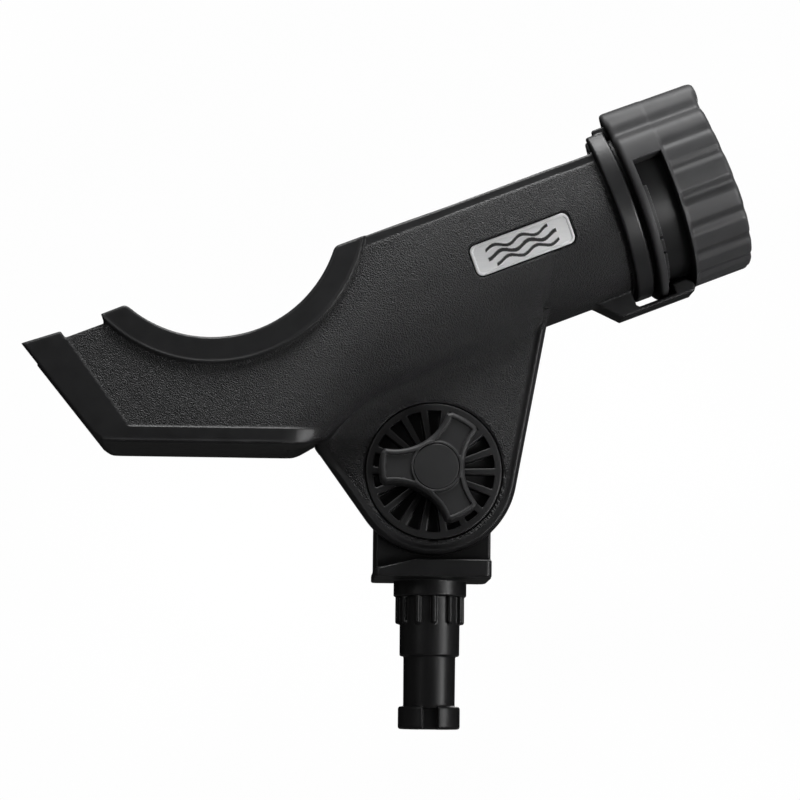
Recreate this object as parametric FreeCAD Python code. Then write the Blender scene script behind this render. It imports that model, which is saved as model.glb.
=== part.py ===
import FreeCAD, Part
import math
import os

# Adjustable rod holder for a 7/8 in splined socket.  Units mm, +Z up.
# Origin: post axis, at the underside of the head block (the seat plane).
# +X points toward the locking ring, -Y is the near side, which carries the knob.
# The tube and ring are drawn in a tube frame: x along the tube axis toward the
# ring, z away from the post, origin at the foot of the perpendicular from the
# global origin.  Round numbers well beyond a part are overshoot of a cutting tool.

os.makedirs("parts", exist_ok=True)
Vector = FreeCAD.Vector
ORIGIN = Vector(0, 0, 0)
X_AXIS = Vector(1, 0, 0)
Y_AXIS = Vector(0, 1, 0)
Z_AXIS = Vector(0, 0, 1)

# ------------------------------------------------------------ shared dimensions
TILT = 21.5                 # tube axis above horizontal, deg
TUBE_OFFSET = 104.0         # origin to tube axis, square to the axis
TUBE_R = 32.7
TUBE_REAR_X = -62.0         # rear end of the tube and its bore, both coned there
BORE_R = 28.7               # rod channel
RAIL_TOP = 17.3             # top of the slot rails above the axis
SLOT_HALF = 25.5            # half width of the open slot on top
FRONT_SLOT_HALF = 24.6      # same, through flange and sleeve
FLANGE_X0, FLANGE_X1 = 107.0, 113.5
SLEEVE_X1 = 147.4           # front end of the sleeve the ring turns on

PIVOT_Z = 37.5
EAR_IN, EAR_OUT = 15.5, 21.0        # ear inner and outer faces, distance in y
EAR_R = 29.7
FAR_BOSS_Y = EAR_OUT + 3.0          # outer face of the far ear's boss

TEETH = 24                  # 15 degree tilt steps
TOOTH_H = 1.2
TOOTH_R0, TOOTH_R1 = 12.0, 19.8
HEAD_TOOTH_Y = -12.3        # tooth root plane on the head
CLAMP_TRAVEL = 1.875        # 1.5 turns of M8 x 1.25
DISC_OUT_Y = -21.0          # clutch disc outer face, knob loosened
KEY_W, KEY_R = 5.0, 26.0    # keys between clutch disc and near ear
KEY_ANGLES = (30, 150, 270)

BOLT_R = 4.0                # M8
BOLT_HOLE_R = BOLT_R + 0.08
HEX_AF, HEX_H = 13.0, 5.3
HEX_Y0 = FAR_BOSS_Y - HEX_H         # seat of the bolt head
WASHER_T = 1.2


# ------------------------------------------------------------ helpers
def box(x0, x1, y0, y1, z0, z1):
    return Part.makeBox(x1 - x0, y1 - y0, z1 - z0, Vector(x0, y0, z0))


def cyl_x(radius, x0, x1, y=0, z=0):
    return Part.makeCylinder(radius, x1 - x0, Vector(x0, y, z), X_AXIS)


def cyl_y(radius, y0, y1, x, z):
    return Part.makeCylinder(radius, y1 - y0, Vector(x, y0, z), Y_AXIS)


def cyl_z(radius, z0, z1, x=0, y=0):
    return Part.makeCylinder(radius, z1 - z0, Vector(x, y, z0), Z_AXIS)


def pivot_cyl(radius, y0, y1):
    """Cylinder on the pivot axis."""
    return cyl_y(radius, y0, y1, 0, PIVOT_Z)


def prism_y(points, y0, y1):
    """Polygon of (x, z) points extruded along Y."""
    corners = [Vector(x, y0, z) for x, z in points]
    wire = Part.makePolygon(corners + corners[:1])
    return Part.Face(wire).extrude(Vector(0, y1 - y0, 0))


def prism_x(points, x0, x1):
    """Polygon of (y, z) points extruded along X."""
    corners = [Vector(x0, y, z) for y, z in points]
    wire = Part.makePolygon(corners + corners[:1])
    return Part.Face(wire).extrude(Vector(x1 - x0, 0, 0))


def fuse(shapes):
    return shapes[0].multiFuse(shapes[1:])


def box_pair(x0, x1, y0, y1, z0, z1):
    """A box and its mirror image in y."""
    return fuse([box(x0, x1, -y1, -y0, z0, z1), box(x0, x1, y0, y1, z0, z1)])


def from_tube(shape):
    """Move a shape from the tube frame to the global frame."""
    placed = shape.copy()
    tilt = math.radians(TILT)
    placed.Placement = FreeCAD.Placement(
        Vector(-TUBE_OFFSET * math.sin(tilt), 0, TUBE_OFFSET * math.cos(tilt)),
        FreeCAD.Rotation(Y_AXIS, -TILT))
    return placed


def around_tube(radius, angle):
    """(y, z) in the tube frame; angle in degrees from +z toward -y."""
    turn = math.radians(angle)
    return -radius * math.sin(turn), radius * math.cos(turn)


def around_pivot(shape, angle):
    """Turn a shape drawn about the Y axis from +x toward +z, then lift it to the pivot."""
    shape.rotate(ORIGIN, Y_AXIS, -angle)
    shape.translate(Vector(0, 0, PIVOT_Z))
    return shape


def flat_edges(shape, axis, level):
    """Edges lying in the plane where axis ("Y" or "Z") equals level."""
    found = []
    for edge in shape.Edges:
        bounds = edge.BoundBox
        flat = getattr(bounds, axis + "Length") < 0.01
        if flat and abs(getattr(bounds, axis + "Min") - level) < 0.01:
            found.append(edge)
    return found


def soften(shape, edges, radius):
    """Fillet the edges, or leave the shape as it is."""
    if not edges:
        return shape
    # Guards against a fillet the kernel cannot build: the edges then stay sharp.
    try:
        rounded = shape.makeFillet(radius, edges)
        if rounded.isValid() and rounded.Solids:
            return rounded
    except Exception:
        pass
    return shape


def hexagon(across_flats, y0, y1):
    """Hexagonal prism on the pivot axis, a corner toward +x."""
    radius = across_flats / math.sqrt(3)
    corners = []
    for i in range(6):
        turn = math.radians(60 * i)
        corners.append((radius * math.cos(turn), PIVOT_Z + radius * math.sin(turn)))
    return prism_y(corners, y0, y1)


def face_teeth(y_root, y_tip, phase):
    """Ring of tapered radial teeth about the pivot."""
    root_half, tip_half = 0.95, 0.45
    section = [(y_root, -root_half), (y_root, root_half), (y_tip, tip_half), (y_tip, -tip_half)]
    return [around_pivot(prism_x(section, TOOTH_R0, TOOTH_R1), phase + 360.0 / TEETH * i)
            for i in range(TEETH)]


def save(shape, name):
    shape = shape.removeSplitter()
    if len(shape.Solids) == 1:
        shape = shape.Solids[0]
    shape.exportStep("parts/%s.step" % name)


# ------------------------------------------------------------ saddle
SADDLE_BOTTOM = 44.3
FLOOR_Z = 48.3
BAND = 0.9                  # how far the smooth bands stand proud of the saddle
TUBE_BAND = 0.8             # same, on the tube
SCOOP_X, SCOOP_Z, SCOOP_R = -80.1, 128.4, 45.3
SCOOP_BAND = 9.6            # width of the band round the scoop

# U sections, (half width, z): flat bottom end, arc middle, arc end, wall top
WALL = ((13.6, SADDLE_BOTTOM), (24.4, 54.6), (29.2, 72.0), (29.8, 112.0))
BAND_WALL = ((14.5, SADDLE_BOTTOM), (25.3, 54.0), (29.2 + BAND, 72.0), (29.8 + BAND, 112.0))
INNER_WALL = ((12.0, FLOOR_Z), (21.3, 57.2), (25.2, 72.0), (25.8, 118.0))

# Side outlines, (x, z)
SADDLE_SIDE = [
    (-145.5, 80.0), (-132.6, 84.3), (-131.4, 81.4), (-117.8, 86.8), (-118.9, 90.6),
    (-112.1, 93.3), (-99.0, 98.0), (-60.0, 108.0), (-42.0, 108.0), (-34.0, 78.0),
    (-31.0, 60.0), (-35.4, 49.0), (-39.6, 46.2), (-51.4, SADDLE_BOTTOM),
    (-115.0, SADDLE_BOTTOM), (-118.3, 44.9), (-120.7, 46.5)]
REAR_BAND_SIDE = [(-148.0, 79.8), (-132.6, 84.3), (-109.8, 51.3), (-122.0, 43.0), (-130.0, 50.0)]
LOW_BAND_SIDE = [(-130.0, 40.0), (-130.0, 51.0), (-47.0, 51.0), (-40.0, 46.0), (-40.0, 40.0)]
SCOOP_BAND_SIDE = [(-118.9, 90.6), (-112.1, 93.3), (-99, 96), (-60, 120), (-26.5, 119.3),
                   (-22, 60), (-118.1, 60)]
UNDERSIDE_RECESS = [(-114.3, 40.0), (-114.3, 45.5), (-80.0, 45.5), (-52.0, 56.0), (-52.0, 40.0)]
RECESS_HALF = 10.5


def u_channel(section, x0, x1):
    """Solid U section, closed across its top, extruded along X."""
    left = [Vector(0, -y, z) for y, z in reversed(section)]
    right = [Vector(0, y, z) for y, z in section]
    face = Part.Face(Part.Wire([
        Part.LineSegment(left[0], left[1]).toShape(),
        Part.Arc(left[1], left[2], left[3]).toShape(),
        Part.LineSegment(left[3], right[0]).toShape(),
        Part.Arc(right[0], right[1], right[2]).toShape(),
        Part.LineSegment(right[2], right[3]).toShape(),
        Part.LineSegment(right[3], left[0]).toShape()]))
    face.translate(Vector(x0, 0, 0))
    return face.extrude(Vector(x1 - x0, 0, 0))


def saddle_shapes(scoop_band):
    """Saddle, its rear and low bands, and its part of the scoop band."""
    side = prism_y(SADDLE_SIDE, -40, 40)
    saddle = u_channel(WALL, -150, -9).common(side)
    strips = fuse([prism_y(REAR_BAND_SIDE, -40, 40), prism_y(LOW_BAND_SIDE, -40, 40)])
    edge_bands = u_channel(BAND_WALL, -150, -30).common(strips.common(side))
    scoop_bands = u_channel(BAND_WALL, -150, -50).common(scoop_band).common(side)
    return [saddle, edge_bands, scoop_bands]


# ------------------------------------------------------------ tube (tube frame)
RAIL_OUT = 29.7             # slot rail outer face
RAIL_X0 = 6.0
FLANGE_R = 35.8
SLEEVE_R = 33.0

# Latch tongue under the tube, ending in a hook
TONGUE_HALF = 7.5
TONGUE_IN, TONGUE_OUT = 38.5, 40.3          # faces, below the axis
HOOK_X0, HOOK_X1, HOOK_TOP = 120.4, 128.0, 34.7
TONGUE_SIDE = [             # (x, z)
    (91.7, -31.0), (91.7, -32.3), (99.2, -TONGUE_OUT), (HOOK_X1, -TONGUE_OUT),
    (HOOK_X1, -HOOK_TOP - 0.8), (HOOK_X1 - 1.5, -HOOK_TOP), (HOOK_X0, -HOOK_TOP),
    (HOOK_X0, -TONGUE_IN), (106.0, -TONGUE_IN), (105.4, -37.8), (105.4, -31.0)]


def tube_shape():
    """Tube with slot rails, flange, lugs, sleeve and latch tongue."""
    rear = Part.makeCone(27.2, TUBE_R, 30.0, Vector(TUBE_REAR_X, 0, 0), X_AXIS)
    tube = fuse([rear, cyl_x(TUBE_R, -32, FLANGE_X0 + 1)])
    rails = box_pair(RAIL_X0, FLANGE_X0 + 1, SLOT_HALF - 2, RAIL_OUT, 8, RAIL_TOP)
    tube = tube.cut(box(-80, FLANGE_X0 + 0.01, -60, 60, RAIL_TOP, 80))
    flange = cyl_x(FLANGE_R, FLANGE_X0, FLANGE_X1).cut(
        box(FLANGE_X0 - 1, FLANGE_X1 + 1, -FRONT_SLOT_HALF, FRONT_SLOT_HALF, 0, 60))
    lugs = box_pair(108.8, FLANGE_X1, 23.4, 27.4, 20.0, 24.8)
    sleeve = cyl_x(SLEEVE_R, FLANGE_X1 - 1, SLEEVE_X1).cut(
        box(FLANGE_X0, SLEEVE_X1 + 1, -FRONT_SLOT_HALF, FRONT_SLOT_HALF, 0, 60))
    tongue = prism_y(TONGUE_SIDE, -TONGUE_HALF, TONGUE_HALF)
    return from_tube(fuse([tube, rails, flange, lugs, sleeve, tongue]))


def tube_scoop_band(scoop_band):
    """The scoop band where it crosses the tube."""
    skin = cyl_x(TUBE_R + TUBE_BAND, -60, 20).cut(box(-80, 60, -60, 60, RAIL_TOP, 80))
    return from_tube(skin).common(scoop_band)


def channel_cutter():
    """Rod channel and the slot above it, kept above the saddle floor."""
    rear = Part.makeCone(23.0, BORE_R, 34.0, Vector(TUBE_REAR_X, 0, 0), X_AXIS)
    bore = fuse([cyl_x(BORE_R, -28.5, 170), rear])
    front_slot = box(FLANGE_X0, 170, -FRONT_SLOT_HALF, FRONT_SLOT_HALF, 5, 60)
    slot = box(-60, 170, -SLOT_HALF, SLOT_HALF, 5, 60)
    slot = slot.cut(box(FLANGE_X0, 171, -60, 60, 0, 80)).fuse(front_slot)
    return from_tube(fuse([bore, slot])).common(box(-200, 200, -60, 60, FLOOR_Z, 300))


# ------------------------------------------------------------ web and ears
# Straight web edges leave the ear circle; directions are (x, z) unit vectors.
FRONT_EDGE = (0.1812, 0.9834)
REAR_EDGE = (-0.5850, 0.8110)
REAR_NORMAL = (-0.8110, -0.5850)            # outward
FRONT_EDGE_L, REAR_EDGE_L = 66, 31
FRONT_START = (FRONT_EDGE[1] * EAR_R, PIVOT_Z - FRONT_EDGE[0] * EAR_R)
REAR_START = (REAR_NORMAL[0] * EAR_R, PIVOT_Z + REAR_NORMAL[1] * EAR_R)
PIVOT = (0.0, PIVOT_Z)

BEAD_H, BEAD_W = 0.7, 1.5   # bead along the edge of the outer faces
FAR_INSET = 3.1             # far ear's rear edge stops this far inside the near ear's
SWELL_DEPTH, SWELL_HALF_W = 46.6, 32.5      # semi-axes of the swell under the tube

GAP_R = 24.9                # clearance round the head between the ears
GAP_REAR_ANGLE, GAP_FRONT_ANGLE = 120, 75   # where its straight sides leave the circle
GAP_REAR_DIR, GAP_FRONT_DIR = (-0.8660, -0.5), (0.9659, -0.2588)


def step(start, direction, distance, dx=0, dz=0):
    """Point a distance along a direction from start, then shifted by dx, dz."""
    return start[0] + direction[0] * distance + dx, start[1] + direction[1] * distance + dz


def ear_profile(points, radius, half_y):
    """Prism of (x, z) points joined to a disc on the pivot."""
    return prism_y(points, -half_y, half_y).fuse(pivot_cyl(radius, -half_y, half_y))


def web_shapes():
    """Web with the two ear blanks, and the bead along its edge."""
    outline = [
        FRONT_START, step(FRONT_START, FRONT_EDGE, FRONT_EDGE_L),
        (-20.0, 86.0), (-40.0, 70.0), (-46.0, 55.0),
        step(REAR_START, REAR_EDGE, REAR_EDGE_L), REAR_START, PIVOT]
    bead_inside = [
        step(FRONT_START, FRONT_EDGE, 0, -BEAD_W, 0.3),
        step(FRONT_START, FRONT_EDGE, FRONT_EDGE_L, -BEAD_W),
        (-20.0, 86.0), (-40.0, 72.0), (-44.5, 56.0),
        step(REAR_START, REAR_EDGE, REAR_EDGE_L, 1.25, 0.9),
        step(REAR_START, REAR_EDGE, 0, 1.25, 0.9), PIVOT]
    web = ear_profile(outline, EAR_R, EAR_OUT)
    bead = ear_profile(outline, EAR_R, EAR_OUT + BEAD_H).cut(
        ear_profile(bead_inside, EAR_R - BEAD_W, 30))

    corners = []
    for along, out in ((-15, -FAR_INSET), (33, -FAR_INSET), (33, 6), (-15, 6)):
        corners.append(step(step(REAR_START, REAR_EDGE, along), REAR_NORMAL, out))
    inset = prism_y(corners, EAR_IN - 0.5, 30)
    return [web.cut(inset), bead.cut(inset)]


def swell_shape():
    """Half-oval swell under the tube where it runs into the web."""
    oval = Part.Ellipse(Vector(0, 0, -SWELL_DEPTH), Vector(0, SWELL_HALF_W, 0), ORIGIN).toShape()
    swell = Part.Face(Part.Wire([oval])).extrude(Vector(90, 0, 0))
    swell.translate(Vector(-20, 0, 0))
    swell = from_tube(swell.common(box(-30, 80, -40, 40, -60, 0)))
    front_inset = -3.2
    return swell.common(prism_y([
        step(FRONT_START, FRONT_EDGE, 0, front_inset),
        step(FRONT_START, FRONT_EDGE, FRONT_EDGE_L, front_inset),
        (-16.0, 86.0), (-20.7, 62.2), (-9.7, 60.0), PIVOT], -40, 40))


def gap_cutter():
    """Room for the head between the ears, open downward."""
    starts = []
    for angle in (GAP_REAR_ANGLE, GAP_FRONT_ANGLE):
        turn = math.radians(angle)
        starts.append((GAP_R * math.cos(turn), GAP_R * math.sin(turn)))
    rear, front = starts
    points = [rear, step(rear, GAP_REAR_DIR, 60), (-70, -60), (90, -60),
              step(front, GAP_FRONT_DIR, 80), front, (0, 0)]
    return ear_profile([(x, z + PIVOT_Z) for x, z in points], GAP_R, EAR_IN)


# ------------------------------------------------------------ badges (tube frame)
BADGE_X, BADGE_L, BADGE_H = 70.2, 38.0, 12.4
BADGE_CORNER_R = 2.5
BADGE_TURN = -9.0           # about the tube axis, sets the badges below its sides
BADGE_T = 0.75
BADGE_GAP = 0.45            # clearance of the pocket round the badge
POCKET_R = 31.8             # pocket floor radius
NEAR, FAR = -1, 1           # sides, by the sign of y


def badge_prism(grow, side):
    """Rounded rectangle standing out through the tube wall."""
    half_l, half_h = BADGE_L / 2 + grow, BADGE_H / 2 + grow
    radius = BADGE_CORNER_R + grow
    flat_l, flat_h = half_l - radius, half_h - radius
    shapes = [box(-flat_l, flat_l, 0, 20, -half_h, half_h),
              box(-half_l, half_l, 0, 20, -flat_h, flat_h)]
    for x in (-flat_l, flat_l):
        for z in (-flat_h, flat_h):
            shapes.append(cyl_y(radius, 0, 20, x, z))
    prism = fuse(shapes)
    prism.translate(Vector(BADGE_X, 20, 0))
    prism.rotate(ORIGIN, X_AXIS, BADGE_TURN)
    if side == NEAR:
        prism = prism.mirror(ORIGIN, Y_AXIS)
    return prism


def badge_pocket(side):
    return from_tube(badge_prism(BADGE_GAP, side).cut(cyl_x(POCKET_R, 0, 120)))


def badge(side):
    plate = badge_prism(0.0, side).common(cyl_x(POCKET_R + BADGE_T, 40, 100))
    return from_tube(plate.cut(cyl_x(POCKET_R, 0, 120)))


# ------------------------------------------------------------ cradle body
DISC_HOLE_R = 24.4
FAR_BOSS_R = 12.5
SADDLE_INNER_X1 = -82.4     # front end of the saddle's inner channel


def cradle_body():
    scoop_band = cyl_y(SCOOP_R + SCOOP_BAND, -40, 40, SCOOP_X, SCOOP_Z).common(
        prism_y(SCOOP_BAND_SIDE, -40, 40))
    far_boss = pivot_cyl(FAR_BOSS_R, EAR_OUT - 0.5, FAR_BOSS_Y)
    body = fuse(saddle_shapes(scoop_band) + [tube_shape(), tube_scoop_band(scoop_band)]
                + web_shapes() + [far_boss, swell_shape()])

    body = body.cut(fuse([channel_cutter(), u_channel(INNER_WALL, -160, SADDLE_INNER_X1)]))
    body = body.cut(cyl_y(SCOOP_R, -60, 60, SCOOP_X, SCOOP_Z))
    body = body.cut(gap_cutter())
    body = body.cut(prism_y(UNDERSIDE_RECESS, -RECESS_HALF, RECESS_HALF))
    body = body.cut(fuse([badge_pocket(NEAR), badge_pocket(FAR)]))

    # near ear: disc hole with three key slots open on the inside
    inner_face = -EAR_IN + 0.01
    slot_half = KEY_W / 2 + 0.1
    body = body.cut(pivot_cyl(DISC_HOLE_R, -EAR_OUT - 5, inner_face))
    for angle in KEY_ANGLES:
        slot = box(20, KEY_R + 0.2, -19.0, inner_face, -slot_half, slot_half)
        body = body.cut(around_pivot(slot, angle))

    # far ear: bolt bore and hex pocket
    body = body.cut(pivot_cyl(BOLT_R, EAR_IN - 1, EAR_OUT + 5))
    body = body.cut(hexagon(HEX_AF + 0.1, HEX_Y0, EAR_OUT + 6))

    # the cuts may leave loose slivers: keep the largest solid
    if len(body.Solids) > 1:
        body = max(body.Solids, key=lambda solid: solid.Volume)
    return body


# ------------------------------------------------------------ locking ring (tube frame)
RING_X0, RING_X1 = 115.0, 150.5
RING_IN_R, RING_R, RING_REAR_R = 33.08, 38.2, 38.3
RING_REAR_X1 = 130.0
RING_GAP = 39.0             # half angle of the ring opening, deg
RING_LIP_R = 30.2           # front lip that covers the sleeve end
HORN_R, HORN_CENTRE_R = 3.0, 35.6
HORN_ANGLE = RING_GAP + 3.4
WINDOW_X0, WINDOW_X1 = 118.9, 128.8         # window the latch hook runs in
WINDOW_A0, WINDOW_A1 = 75.0, 193.6          # from top toward the near side, deg
FLUTES, FLUTE_A0, FLUTE_PITCH = 16, 60, 16.0        # count, first angle, pitch in deg
FLUTE_R, FLUTE_CENTRE_R, FLUTE_X0 = 4.6, RING_R + 3.5, 130.5


def sector(angle0, angle1, x0, x1):
    """Wedge about the tube axis, reaching past the ring."""
    steps = int((angle1 - angle0) / 15) + 1
    rim = [around_tube(60, angle0 + (angle1 - angle0) * i / steps) for i in range(steps + 1)]
    return prism_x([(0, 0)] + rim, x0, x1)


def lock_ring():
    ring = fuse([cyl_x(RING_R, RING_X0, RING_X1), cyl_x(RING_REAR_R, RING_X0, RING_REAR_X1)])
    ring = ring.cut(cyl_x(RING_IN_R, RING_X0 - 1, SLEEVE_X1 + 0.35))
    ring = ring.cut(cyl_x(RING_LIP_R, 140, RING_X1 + 1))
    # horns on the edges of the opening
    horns = [cyl_x(HORN_R, RING_X0, RING_X1, *around_tube(HORN_CENTRE_R, angle))
             for angle in (HORN_ANGLE, -HORN_ANGLE)]
    ring = ring.fuse(fuse(horns).cut(cyl_x(RING_IN_R, RING_X0 - 1, RING_X1 + 1)))
    ring = ring.cut(sector(-RING_GAP, RING_GAP, RING_X0 - 1, RING_X1 + 1))
    # grip flutes on the front portion
    for i in range(FLUTES):
        y, z = around_tube(FLUTE_CENTRE_R, FLUTE_A0 + FLUTE_PITCH * i)
        ring = ring.cut(cyl_x(FLUTE_R, FLUTE_X0, RING_X1 + 2, y, z))
    window = sector(WINDOW_A0, WINDOW_A1, WINDOW_X0, WINDOW_X1)
    ring = ring.cut(window.cut(cyl_x(RING_IN_R - 2, WINDOW_X0 - 1, WINDOW_X1 + 1)))
    return from_tube(ring)


# ------------------------------------------------------------ post and head
HEAD_X0, HEAD_X1 = -21.0, 20.5
HEAD_R, HEAD_HALF_Y = 21.5, 15.3
BASE_X1 = HEAD_X1 + 0.5
BASE_HALF_Y, BASE_H = 21.5, 6.3
COLLAR_R, COLLAR_Z = 13.1, -6.05            # radius, lower end
BARREL_R, BARREL_Z = 10.73, -27.4
SHANK_R, SHANK_Z = 9.25, -45.3
FOOT_R, FOOT_Z = 11.1, -53.4
TAPER = 0.1                 # extra radius at the top of barrel and shank
POST_TOP = 0.5              # the round parts run this far into the base
RIBS, RIB_A0 = 12, 5        # count, first angle in deg
RIB_R, RIB_Z, RIB_NOSE_R = 12.5, -16.0, 0.9
FOOT_SLOT_W, FOOT_SLOT_Y = 5.4, SHANK_R - 1.2


def tapered_post(radius, bottom):
    return Part.makeCone(radius + TAPER, radius, POST_TOP - bottom,
                         Vector(0, 0, POST_TOP), Vector(0, 0, -1))


def rib(angle):
    """Radial rib with a round nose and a ball at its lower end."""
    turn = math.radians(angle)
    reach = RIB_R - RIB_NOSE_R
    x, y = reach * math.cos(turn), reach * math.sin(turn)
    bottom, top = RIB_Z + RIB_NOSE_R, 0.4
    blade = box(0, reach, -RIB_NOSE_R, RIB_NOSE_R, bottom, top)
    blade.rotate(ORIGIN, Z_AXIS, angle)
    return [cyl_z(RIB_NOSE_R, bottom, top, x, y), blade,
            Part.makeSphere(RIB_NOSE_R, Vector(x, y, bottom))]


def base_plate():
    """Plate under the head, vertical corners rounded."""
    base = prism_y([(HEAD_X0, 0), (BASE_X1, 0), (BASE_X1, BASE_H), (-6.0, BASE_H),
                    (HEAD_X0, 2.4)], -BASE_HALF_Y, BASE_HALF_Y)
    vertical = []
    for edge in base.Edges:
        start, end = edge.Vertexes[0], edge.Vertexes[-1]
        if abs(start.X - end.X) < 0.01 and abs(start.Y - end.Y) < 0.01:
            vertical.append(edge)
    return soften(base, vertical, 1.5)


def post():
    head = fuse([box(HEAD_X0, HEAD_X1, -HEAD_HALF_Y, HEAD_HALF_Y, 0, PIVOT_Z),
                 pivot_cyl(HEAD_R, -HEAD_HALF_Y, HEAD_HALF_Y)])
    head = head.common(box(HEAD_X0, HEAD_X1, -20, 20, 0, 80))
    foot = cyl_z(FOOT_R, FOOT_Z, SHANK_Z)
    foot = soften(foot, flat_edges(foot, "Z", FOOT_Z), 0.8)
    shapes = [head, base_plate(), cyl_z(COLLAR_R, COLLAR_Z, POST_TOP),
              tapered_post(BARREL_R, BARREL_Z), tapered_post(SHANK_R, SHANK_Z - 0.5), foot]
    for i in range(RIBS):
        shapes += rib(RIB_A0 + 360 / RIBS * i)
    body = fuse(shapes)

    # slots across the two y sides of the foot
    for y0, y1 in ((-30, -FOOT_SLOT_Y), (FOOT_SLOT_Y, 30)):
        body = body.cut(box(-FOOT_SLOT_W / 2, FOOT_SLOT_W / 2, y0, y1, FOOT_Z - 1, SHANK_Z))
    # toothed face on the near side, above the base
    body = body.cut(pivot_cyl(24.8, -30, HEAD_TOOTH_Y).common(
        box(-40, 40, -30, HEAD_TOOTH_Y, BASE_H + 1.0, 90)))
    body = body.multiFuse(face_teeth(HEAD_TOOTH_Y, HEAD_TOOTH_Y - TOOTH_H, 0.0))
    return body.cut(pivot_cyl(BOLT_HOLE_R, -30, 30))


# ------------------------------------------------------------ clutch disc
DISC_R = 24.3
DISC_ROOT_Y = HEAD_TOOTH_Y - 0.05 - TOOTH_H - CLAMP_TRAVEL      # tooth root plane, loosened
WELL_R, WELL_HUB_R, WELL_DEPTH = 21.6, 9.6, 4.0
SPOKES = 18
SPOKE_PLAN = [(9.0, -0.95), (22.0, -1.35), (22.0, 1.35), (9.0, 0.95)]   # (radius, half width)
KEY_TAB_R0, KEY_TAB_Y0, KEY_TAB_Y1 = 23.0, -18.9, -17.4


def clutch_disc():
    disc = pivot_cyl(DISC_R, DISC_OUT_Y, DISC_ROOT_Y)
    disc = soften(disc, flat_edges(disc, "Y", DISC_OUT_Y), 0.5)
    # ring-shaped well in the outer face, crossed by spokes
    well = pivot_cyl(WELL_R, DISC_OUT_Y - 1, DISC_OUT_Y + WELL_DEPTH)
    well = well.cut(pivot_cyl(WELL_HUB_R, -40, 0))
    spokes = [around_pivot(prism_y(SPOKE_PLAN, DISC_OUT_Y - 2, DISC_OUT_Y + 6),
                           360.0 / SPOKES * i) for i in range(SPOKES)]
    disc = disc.cut(well.cut(fuse(spokes)))
    # half a pitch of phase meshes these teeth with the head's
    disc = disc.multiFuse(face_teeth(DISC_ROOT_Y, DISC_ROOT_Y + TOOTH_H, 180.0 / TEETH))
    for angle in KEY_ANGLES:
        tab = box(KEY_TAB_R0, KEY_R, KEY_TAB_Y0, KEY_TAB_Y1, -KEY_W / 2, KEY_W / 2)
        disc = disc.fuse(around_pivot(tab, angle))
    return disc.cut(pivot_cyl(BOLT_HOLE_R, -40, 0))


# ------------------------------------------------------------ bolt and washer
BOLT_END_Y = -33.8          # clear of the knob when fully tightened
WASHER_R = 9.2


def pivot_bolt():
    # the cone chamfers the outer corners of the hex head
    chamfer = Part.makeCone(HEX_AF / 2 + 4.2, HEX_AF / 2 - 0.1, HEX_H + 1.2,
                            Vector(0, HEX_Y0 - 0.6, PIVOT_Z), Y_AXIS)
    bolt = fuse([hexagon(HEX_AF, HEX_Y0, HEX_Y0 + HEX_H).common(chamfer),
                 pivot_cyl(BOLT_R, BOLT_END_Y, HEX_Y0 + 0.5)])
    return soften(bolt, flat_edges(bolt, "Y", BOLT_END_Y), 0.7)


def knob_washer():
    washer = pivot_cyl(WASHER_R, DISC_OUT_Y - WASHER_T, DISC_OUT_Y)
    return washer.cut(pivot_cyl(BOLT_R + 0.1, -40, 0))


# ------------------------------------------------------------ knob
LOBE_ANGLES = (180, 300, 60)        # in XZ, from +x toward +z
LOBE_TIP, LOBE_W = 19.4, 12.5       # reach from the pivot, width
LOBE_CORNER, LOBE_CROWN = 1.4, 0.5  # corner bevel, bulge of the tip
WAIST_R = 9.9                       # outline radius midway between lobes
LOBES_Y, KNOB_OUT_Y = -27.0, -38.0  # inner and outer faces of the lobes
KNOB_SEAT_Y = DISC_OUT_Y - WASHER_T - 0.05
INSERT_R, INSERT_Y0 = 5.6, -33.5
CAP_R = 8.0
CAP_SEAT_Y = KNOB_OUT_Y + 1.6
CAP_OUT_Y = KNOB_OUT_Y - 0.15


def lobe_outline():
    """Three-lobe wire on the knob's outer face."""
    half = LOBE_W / 2
    tip_points = ((LOBE_TIP - LOBE_CORNER, -half), (LOBE_TIP, -half + LOBE_CORNER),
                  (LOBE_TIP + LOBE_CROWN, 0), (LOBE_TIP, half - LOBE_CORNER),
                  (LOBE_TIP - LOBE_CORNER, half))
    tips = []
    for angle in LOBE_ANGLES:
        cos, sin = math.cos(math.radians(angle)), math.sin(math.radians(angle))
        tips.append([Vector(cos * out - sin * across, KNOB_OUT_Y,
                            PIVOT_Z + sin * out + cos * across)
                     for out, across in tip_points])
    edges = []
    for i, tip in enumerate(tips):
        turn = math.radians(LOBE_ANGLES[i] + 60)
        waist = Vector(math.cos(turn) * WAIST_R, KNOB_OUT_Y, PIVOT_Z + math.sin(turn) * WAIST_R)
        edges += [Part.LineSegment(tip[0], tip[1]).toShape(),
                  Part.Arc(tip[1], tip[2], tip[3]).toShape(),
                  Part.LineSegment(tip[3], tip[4]).toShape(),
                  Part.Arc(tip[4], waist, tips[(i + 1) % 3][0]).toShape()]
    return Part.Wire(edges)


def knob():
    lobes = Part.Face(lobe_outline()).extrude(Vector(0, LOBES_Y - KNOB_OUT_Y, 0))
    lobes = soften(lobes, flat_edges(lobes, "Y", KNOB_OUT_Y), 1.0)
    hub = Part.makeCone(9.8, 9.3, KNOB_SEAT_Y - LOBES_Y + 0.5,
                        Vector(0, LOBES_Y - 0.5, PIVOT_Z), Y_AXIS)
    body = lobes.fuse(hub)
    body = body.cut(pivot_cyl(INSERT_R, INSERT_Y0, KNOB_SEAT_Y + 1))
    # room for the bolt end beyond the insert
    body = body.cut(pivot_cyl(4.5, -36.0, INSERT_Y0 + 1))
    return body.cut(pivot_cyl(CAP_R, KNOB_OUT_Y - 1, CAP_SEAT_Y))


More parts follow.
